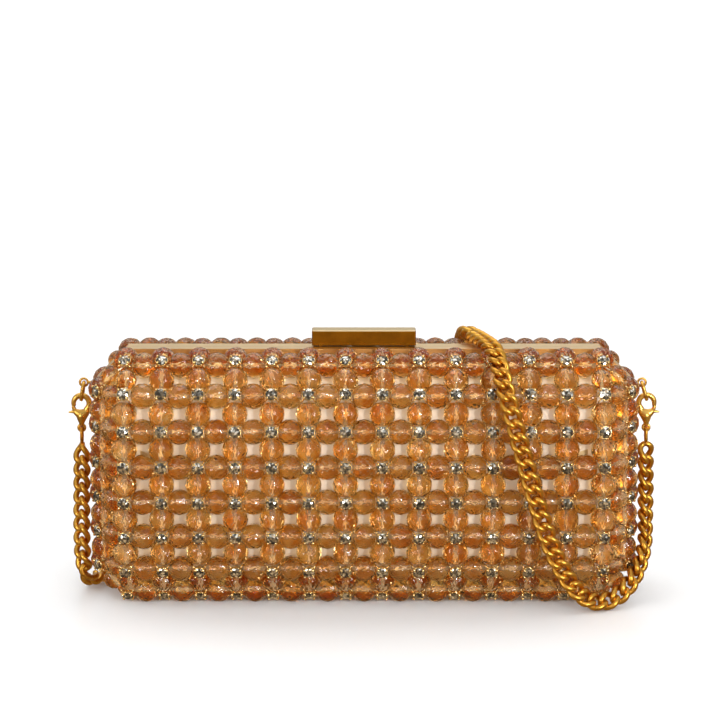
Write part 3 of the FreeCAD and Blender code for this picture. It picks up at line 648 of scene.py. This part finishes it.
def upright_turn(direction):
    """A turn whose Z is the direction and whose Y is as near up as it can be."""
    z = direction.normalized()
    x = Vector((0, 0, 1)).cross(z)
    x = x.normalized() if x.length > 1e-6 else Vector((1, 0, 0))
    return Matrix((x, z.cross(x), z)).transposed().to_4x4()


NET = {"row_beads": row_beads(), "column_beads": column_beads(), "rim_beads": rim_beads(),
       "base_beads": base_beads()}
for number, (kind, beads) in enumerate(NET.items()):
    bead_piece(f"glass_{kind}", beads, number + 1)
threads([bead for beads in NET.values() for bead in beads])
claws_and_stones()

# ---------------------------------------------------------------- satin and lining

DEPTHS = [depth for depth, _ in ROWS]
HEIGHTS = [height for _, height in ROWS]
FACE_DEPTH = DEPTHS[3]
MID_HEIGHT = (HEIGHTS[0] + HEIGHTS[-1]) / 2
HALF_HEIGHT = (HEIGHTS[0] - HEIGHTS[-1]) / 2


def half_planes(depth, inset):
    """The section of the net's body at a depth: (x, z, reach) of each straight side."""
    def reach_at(points):
        """The least reach at this depth under a chain of (depth, reach) points, moved inwards."""
        reaches = [points[0][1] - inset]
        for (d0, r0), (d1, r1) in zip(points, points[1:]):
            nd, nr = r0 - r1, d1 - d0
            long = math.hypot(nd, nr)
            if nr > 1e-6:
                reaches.append(r0 + (-inset * long - nd * (depth - d0)) / nr)
        return min(reaches)

    rise = reach_at([(DEPTHS[i], HEIGHTS[i] - MID_HEIGHT) for i in range(4)])
    side = reach_at([(SIDE_CORNER, SIDE_X), (DEPTHS[1], END_X)])
    run, climb = SIDE_X - END_X, HEIGHTS[0] - HEIGHTS[1]
    long = math.hypot(run, climb)
    corner = (climb * END_X + run * HALF_HEIGHT) / long - inset
    planes = [(1, 0, side), (-1, 0, side), (0, 1, rise), (0, -1, rise)]
    return planes + [(sx * climb / long, sz * run / long, corner) for sx in (1, -1) for sz in (1, -1)]


def loop(depth, inset, count, share=1.0):
    """A ring of points round that section, shrunk about its middle."""
    planes = half_planes(depth, inset)
    points = []
    for k in range(count):
        angle = 2 * math.pi * (k + 0.5) / count
        x, z = SIDE_X * math.cos(angle), HALF_HEIGHT * math.sin(angle)
        reach = min(r / (x * nx + z * nz) for nx, nz, r in planes if x * nx + z * nz > 1e-6)
        points.append(Vector((x * reach * share, -depth, MID_HEIGHT + z * reach * share)))
    return points


def cloth_shell(name, inset, first_depth, material, ripple, seed):
    """Cloth over or inside the front half's shell: rings down its sides, then across its face.

    inset is how far it lies inside the net, and ripple is its deepest hollow, both in mm.
    """
    count, last = 160, FACE_DEPTH - inset
    depths = list(np.linspace(first_depth, last, 22))
    rings = [loop(depth, inset, count) for depth in depths]
    edge = rings[-1]
    for share in np.linspace(0.96, 0.04, 24):
        rings.append([Vector((p.x * share, p.y, MID_HEIGHT + (p.z - MID_HEIGHT) * share)) for p in edge])
    vertices = [p for ring in rings for p in ring]
    faces = bands(len(rings), count)
    faces.append(tuple((len(rings) - 1) * count + k for k in range(count)))
    rng = random.Random(seed)
    waves = [(rng.uniform(0.12, 0.5), rng.uniform(0.12, 0.5), rng.uniform(0, 6.3), rng.uniform(0.3, 1))
             for _ in range(9)]
    total = sum(weight for *_, weight in waves)
    soft = []
    for i, p in enumerate(vertices):
        share = 0.0 if i < count else ripple / total * sum(
            weight * math.sin(a * p.x + phase) * math.cos(b * (p.z - p.y)) for a, b, phase, weight in waves)
        middle = Vector((p.x * 0.9, -8.0, MID_HEIGHT))
        soft.append((p + (middle - p).normalized() * abs(share)) * MM)
    return piece(name, soft, faces, [material], smooth=True)


def cloth():
    """Satin stretched over each shell, and the lining with its corded edge."""
    satin = cloth_shell("front_satin", inset=4.12, first_depth=RIM_DEPTH, material=SATIN,
                        ripple=0.12, seed=21)
    for item in both_halves(satin, "satin", "satin", "satin_cover"):
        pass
    lining = cloth_shell("front_lining_cloth", inset=6.0, first_depth=0.9, material=LINING,
                         ripple=0.3, seed=22)
    for item in both_halves(lining, "lining_cloth", "lining_cloth", "lining"):
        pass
    edge = [p * MM for p in loop(0.95, 6.3, 200)]
    vertices, faces = tube(edge, 0.42 * MM, sides=8, closed=True)
    both_halves(piece("front_lining_cord", vertices, faces, [LINING], smooth=True), "lining_cord",
                "lining_cloth")


cloth()

# ---------------------------------------------------------------- metal parts kept from the CAD


def refinish(material, *names, bevel=0.0):
    """A CAD node keeps its shape and gets a finish, with its edges eased."""
    for name in names:
        item = nodes[name]
        item.data.materials.clear()
        item.data.materials.append(material)
        if bevel:
            ease = item.modifiers.new("ease", "BEVEL")
            ease.width = bevel
            ease.segments = 2
            ease.limit_method = "ANGLE"
            ease.angle_limit = math.radians(35)


refinish(FRAME_GOLD, "front_frame_rim", "back_frame_rim", bevel=0.0002)
refinish(SHELL_BRASS, "front_shell", "back_shell")
refinish(CLAW_GOLD, "front_hinge_leaves", "back_hinge_leaves", bevel=0.00015)
refinish(BAR_GOLD, "clasp_bar")
refinish(BAR_GOLD, "clasp_base", "clasp_catch", bevel=0.00008)
refinish(STEEL, "hinge_pins", "clasp_pin", "clasp_spring", "left_lobster_pin", "right_lobster_pin",
         "left_lobster_spring", "right_lobster_spring")
refinish(FITTING_GOLD, "left_eyelet", "right_eyelet", "left_ring", "right_ring")
refinish(CHAIN_GOLD, "left_chain_link", "right_chain_link")

# ---------------------------------------------------------------- lobster clasps


def blob(name, balls, voxel, material):
    """One smooth body over a run of overlapping balls: (x, y, z, radius) in mm."""
    shape = bmesh.new()
    for x, y, z, radius in balls:
        bmesh.ops.create_icosphere(shape, subdivisions=3, radius=radius * MM,
                                   matrix=Matrix.Translation(Vector((x, y, z)) * MM))
    mesh = bpy.data.meshes.new(name)
    shape.to_mesh(mesh)
    shape.free()
    mesh.materials.append(material)
    item = bpy.data.objects.new(name, mesh)
    bpy.context.scene.collection.objects.link(item)
    remesh = item.modifiers.new("remesh", "REMESH")
    remesh.mode = "VOXEL"
    remesh.voxel_size = voxel * MM
    soften = item.modifiers.new("soften", "SMOOTH")
    soften.factor = 0.6
    soften.iterations = 6
    apply_modifiers(item)
    for polygon in item.data.polygons:
        polygon.use_smooth = True
    return item


def moved(balls, origin):
    """Balls shifted to an origin."""
    return [(x + origin.x, y + origin.y, z + origin.z, radius) for x, y, z, radius in balls]


def along(points, steps):
    """Balls between (x, y, z, radius) points."""
    balls = []
    for first, second in zip(points, points[1:]):
        for k in range(steps):
            share = k / steps
            balls.append([a + (b - a) * share for a, b in zip(first, second)])
    return balls + [points[-1]]


def lobster(side):
    """The cast body and the lever of one lobster clasp, in the place of the CAD's."""
    out = SIDES[side]
    low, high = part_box(f"{side}_lobster_body")
    origin = Vector(((low.x + high.x) / 2, (low.y + high.y) / 2, high.z)) / MM - Vector((0, 0, 3.05))
    hook = []
    for degrees in range(-48, 200, 10):
        angle = math.radians(degrees)
        thin = 0.95 - 0.2 * max(degrees - 130, 0) / 70
        hook.append((-out * 2.6 * math.cos(angle), 0, 2.6 * math.sin(angle), thin))
    body = along([(-out * 1.95, 0, -2.2, 1.0), (-out * 1.4, 0, -3.2, 1.3), (-out * 0.1, 0, -4.3, 1.85),
                  (0, 0, -5.4, 1.4), (0, 0, -6.9, 0.8)], 8)
    shoulder = along([(-out * 1.2, 0, -3.3, 1.3), (out * 1.0, 0, -3.5, 1.35), (out * 1.9, 0, -2.9, 1.0)], 6)
    eye = [(1.05 * math.cos(a), 0, -8.3 + 1.05 * math.sin(a), 0.52)
           for a in np.linspace(0, 2 * math.pi, 25)[:-1]]
    balls = moved(along(hook, 2) + body + shoulder + eye, origin)
    settle(blob(f"{side}_clasp_body", balls, 0.13, FITTING_GOLD), f"{side}_hanger", "fitting_gilt",
           f"{side}_lobster_body")
    gate = along([(out * 1.9, 0, -3.0, 0.7), (out * 2.35, 0, -2.2, 0.7), (out * 2.62, 0, -1.5, 0.66),
                  (out * 2.65, 0, -0.95, 0.6)], 6)
    tab = along([(out * 2.1, 0, -2.9, 0.7), (out * 3.1, 0, -2.95, 0.5), (out * 4.1, 0, -3.05, 0.3)], 6)
    settle(blob(f"{side}_clasp_lever", moved(gate + tab, origin), 0.1, FITTING_GOLD), f"{side}_lever",
           "fitting_gilt", f"{side}_lobster_lever")


for side in SIDES:
    lobster(side)

# ---------------------------------------------------------------- chain

FRONT_ROUTE = [
    (93.8, -2.0, 50.5), (94.0, -2.4, 39.0), (93.7, -6.0, 27.0), (93.1, -13.0, 17.0),
    (88.9, -21.2, 9.1), (82.8, -26.6, 3.7), (75.3, -29.6, 2.8), (68.2, -33.2, 8.2),
    (60.9, -33.4, 21.2), (56.0, -33.0, 36.8), (51.3, -32.9, 53.2), (47.7, -32.2, 66.2),
    (44.9, -28.0, 76.0), (43.0, -18.8, 84.4), (39.9, -6.0, 85.8), (36.2, 8.0, 85.8),
]
REAR_ROUTE = [
    (36.2, 8.0, 85.8), (34.6, 14.0, 85.8), (34.2, 22.5, 83.6), (32.5, 31.0, 75.0),
    (29.5, 34.0, 62.0), (25.8, 34.2, 47.0), (22.0, 34.2, 32.0), (16.5, 35.6, 18.0),
    (8.0, 38.4, 7.4), (-5.0, 40.0, 2.9), (-20.0, 40.6, 2.4), (-36.0, 40.0, 2.4),
    (-52.0, 38.4, 2.4), (-67.0, 35.2, 2.4), (-79.0, 27.4, 2.4), (-87.5, 15.68, 2.4),
    (-90.0, 8.0, 2.4),
]
LEFT_ROUTE = [
    (-90.0, 8.0, 2.4), (-91.465, 3.5, 2.4), (-93.0, -1.9, 5.6), (-93.9, -5.0, 11.6),
    (-94.2, -4.2, 21.0), (-94.1, -2.2, 35.0), (-93.8, -2.0, 50.3),
]
LINK_PITCH = 4.4
LINK_REACH = 3.1        # half the length of a link's centre line
LINK_BREADTH = 2.28     # half its width
LINK_WIRE = 1.0         # the wire's radius
LINK_TWIST = math.radians(-54)


def smooth_line(name, route):
    """Points close together along a NURBS spline with the route as its control points, in mm."""
    curve = bpy.data.curves.new(name, "CURVE")
    curve.dimensions = "3D"
    curve.resolution_u = 24
    spline = curve.splines.new("NURBS")
    spline.points.add(len(route) - 1)
    for point, place in zip(spline.points, route):
        point.co = (*place, 1.0)
    spline.order_u = 3
    spline.use_endpoint_u = True
    item = bpy.data.objects.new(name, curve)
    bpy.context.scene.collection.objects.link(item)
    bpy.context.view_layer.update()
    mesh = bpy.data.meshes.new_from_object(item)
    points = [v.co.copy() for v in mesh.vertices]
    bpy.data.objects.remove(item)
    return points


def at_length(points, runs, place):
    """The point and the direction at a length along a line."""
    i = min(max(int(np.searchsorted(runs, place)) - 1, 0), len(points) - 2)
    share = (place - runs[i]) / max(runs[i + 1] - runs[i], 1e-9)
    return points[i].lerp(points[i + 1], share), (points[i + 1] - points[i]).normalized()


def link_line(steps):
    """The closed centre line of a curb link along X, lying in the XY plane at its middle."""
    line = []
    for k in range(steps):
        angle = 2 * math.pi * k / steps
        x, y = math.cos(angle), LINK_BREADTH * math.sin(angle)
        twist = LINK_TWIST * x
        line.append(Vector((LINK_REACH * x, y * math.cos(twist), y * math.sin(twist))))
    return line


def chain(name, route, faces_way):
    """A run of curb links along a route. faces_way gives (share of the length, way it faces)."""
    line = smooth_line(name + "_line", route)
    runs = np.concatenate(([0.0], np.cumsum([(b - a).length for a, b in zip(line, line[1:])])))
    whole = runs[-1]
    count = max(int((whole - 2 * LINK_REACH) / LINK_PITCH + 0.5), 1) + 1
    step = (whole - 2 * LINK_REACH) / (count - 1)
    shares = [share for share, _ in faces_way]
    parts = []
    for number in range(count):
        place = LINK_REACH + number * step
        centre, _ = at_length(line, runs, place)
        ahead = at_length(line, runs, place + 2.0)[0] - at_length(line, runs, place - 2.0)[0]
        ahead.normalize()
        way = Vector([float(np.interp(place / whole, shares, [w[axis] for _, w in faces_way]))
                      for axis in range(3)])
        up = (way - ahead * way.dot(ahead)).normalized()
        turn = Matrix((ahead, up.cross(ahead), up)).transposed()
        parts.append(tube([(centre + turn @ p) * MM for p in link_line(28)], LINK_WIRE * MM, 8, closed=True))
    vertices, faces = joined(parts)
    return piece(name, vertices, faces, [CHAIN_GOLD], smooth=True), [p * MM for p in line], whole * MM


def chains():
    """The three runs of the chain."""
    front, line, long = chain("chain_links_front", FRONT_ROUTE,
                              [(0, (0.7, -0.7, 0)), (0.2, (0.75, -0.65, 0)), (0.36, (0.1, -0.75, 0.65)),
                               (0.5, (0, -1, 0)), (0.8, (0, -1, 0.05)), (0.9, (0, -0.45, 0.9)),
                               (1, (0, 0, 1))])
    settle(front, None, "chain_gilt", "chain_front")
    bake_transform(front)

    rear, line, long = chain("chain_links_rear", REAR_ROUTE,
                             [(0, (0, 0, 1)), (0.08, (0, 0.3, 1)), (0.2, (0, 1, 0.2)), (0.42, (0, 1, 0.2)),
                              (0.52, (0, 0.5, 0.9)), (0.6, (0, 0, 1)), (1, (0, 0, 1))])
    settle(rear, "front_half", "chain_gilt", "chain_rear")
    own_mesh(rear)

    left, line, long = chain("chain_links_left", LEFT_ROUTE,
                             [(0, (0, 0, 1)), (0.15, (-0.3, -0.3, 0.9)), (0.35, (-0.6, -0.8, 0)),
                              (1, (-0.6, -0.8, 0))])
    settle(left, None, "chain_gilt", "chain_left")
    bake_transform(left)


chains()

# ---------------------------------------------------------------- stage, light and camera


def paper(name, shade, glow):
    """The studio's white paper."""
    finish = Finish(name, Specular_IOR_Level=0.3, Emission_Color=(1, 1, 1, 1), Emission_Strength=glow)
    tone = finish.noise(3.0, detail=1.0)
    finish.colour(finish.ramp(tone, (0.3, [0.99 * shade] * 3), (0.7, [shade] * 3)))
    finish.rough(finish.spread(tone, 0.3, 0.31))
    return finish.material


def turned_sheet(name, outline, shade, glow):
    """A piece of the stage: an outline of (radius, height) turned about the vertical."""
    vertices, faces = turned_shape(outline, 64)
    item = piece(name, vertices, faces, [paper(name, shade, glow)], smooth=True)
    item.visible_glossy = False
    item.visible_transmission = False


def studio():
    """A white floor that curves up into a white wall all round."""
    curve = [(1.6 + 0.9 * math.sin(a), 0.9 - 0.9 * math.cos(a)) for a in np.linspace(0, math.pi / 2, 13)]
    turned_sheet("studio_floor", [(0.001, 0.0), (0.2, 0.0), (0.5, 0.0), (0.8, 0.0)], 0.63, 0.0)
    turned_sheet("studio_wall", [(0.8, 0.0), (1.2, 0.0)] + curve + [(2.5, 3.0)], 0.93, 0.9)


def lamp(name, place, aim, size, power, colour=(1, 1, 1)):
    """A soft square lamp."""
    data = bpy.data.lights.new(name, "AREA")
    data.shape = "RECTANGLE"
    data.size, data.size_y = size
    data.energy = power
    data.color = colour
    item = bpy.data.objects.new(name, data)
    bpy.context.scene.collection.objects.link(item)
    item.location = place
    item.rotation_euler = (Vector(aim) - Vector(place)).to_track_quat("-Z", "Y").to_euler()


def lights():
    """A surround that is darker and warmer low down, with soft patches, and four lamps."""
    world = bpy.data.worlds.new("studio")
    bpy.context.scene.world = world
    world.use_nodes = True
    tree = world.node_tree
    place = tree.nodes.new("ShaderNodeTexCoord")
    height = tree.nodes.new("ShaderNodeSeparateXYZ")
    shade = tree.nodes.new("ShaderNodeValToRGB")
    tree.links.new(place.outputs["Generated"], height.inputs["Vector"])
    tree.links.new(height.outputs["Z"], shade.inputs["Fac"])
    for position, tone in ((0.12, 0.44), (0.45, 0.70)):
        shade.color_ramp.elements.new(position).color = (tone, tone, tone, 1)
    shade.color_ramp.elements[0].color = (0.34, 0.25, 0.15, 1)
    shade.color_ramp.elements[-1].color = (0.85, 0.85, 0.85, 1)
    tree.links.new(shade.outputs["Color"], tree.nodes["Background"].inputs["Color"])
    cards = tree.nodes.new("ShaderNodeTexNoise")
    cards.inputs["Scale"].default_value = 3.5
    cards.inputs["Detail"].default_value = 1.0
    strength = tree.nodes.new("ShaderNodeMapRange")
    for entry, value in (("From Min", 0.42), ("From Max", 0.58), ("To Min", 0.2), ("To Max", 1.7)):
        strength.inputs[entry].default_value = value
    tree.links.new(place.outputs["Generated"], cards.inputs["Vector"])
    tree.links.new(cards.outputs["Fac"], strength.inputs["Value"])
    tree.links.new(strength.outputs["Result"], tree.nodes["Background"].inputs["Strength"])
    middle = (0, 0, 0.04)
    lamp("key", (0.62, -0.98, 0.20), middle, (0.34, 0.34), 4.5)
    lamp("fill", (-0.8, -0.98, 0.28), middle, (0.34, 0.34), 4)
    lamp("sparkle", (0.42, -1.05, 0.33), middle, (0.09, 0.09), 3.6)
    lamp("top_light", (0.0, 0.45, 1.1), middle, (1.2, 0.5), 3.5)


CAMERA_RISE = math.radians(10.0)
CAMERA_AWAY = 1.0
CAMERA_TARGET = Vector((-0.0013, 0.0, 0.07835))
VIEW_WIDTH = 0.2390         # what the view takes in at the target's distance
SENSOR_WIDTH = 36.0


def camera():
    """A long lens at the height the bag is seen from."""
    data = bpy.data.cameras.new("camera")
    item = bpy.data.objects.new("camera", data)
    bpy.context.scene.collection.objects.link(item)
    away = Vector((0, -math.cos(CAMERA_RISE), math.sin(CAMERA_RISE)))
    item.location = CAMERA_TARGET + away * CAMERA_AWAY
    item.rotation_euler = (-away).to_track_quat("-Z", "Y").to_euler()
    data.sensor_width = SENSOR_WIDTH
    data.lens = SENSOR_WIDTH * CAMERA_AWAY / VIEW_WIDTH
    data.clip_start = 0.1
    data.clip_end = 20.0
    bpy.context.scene.camera = item


studio()
lights()
camera()
bpy.context.scene.view_settings.view_transform = "Standard"
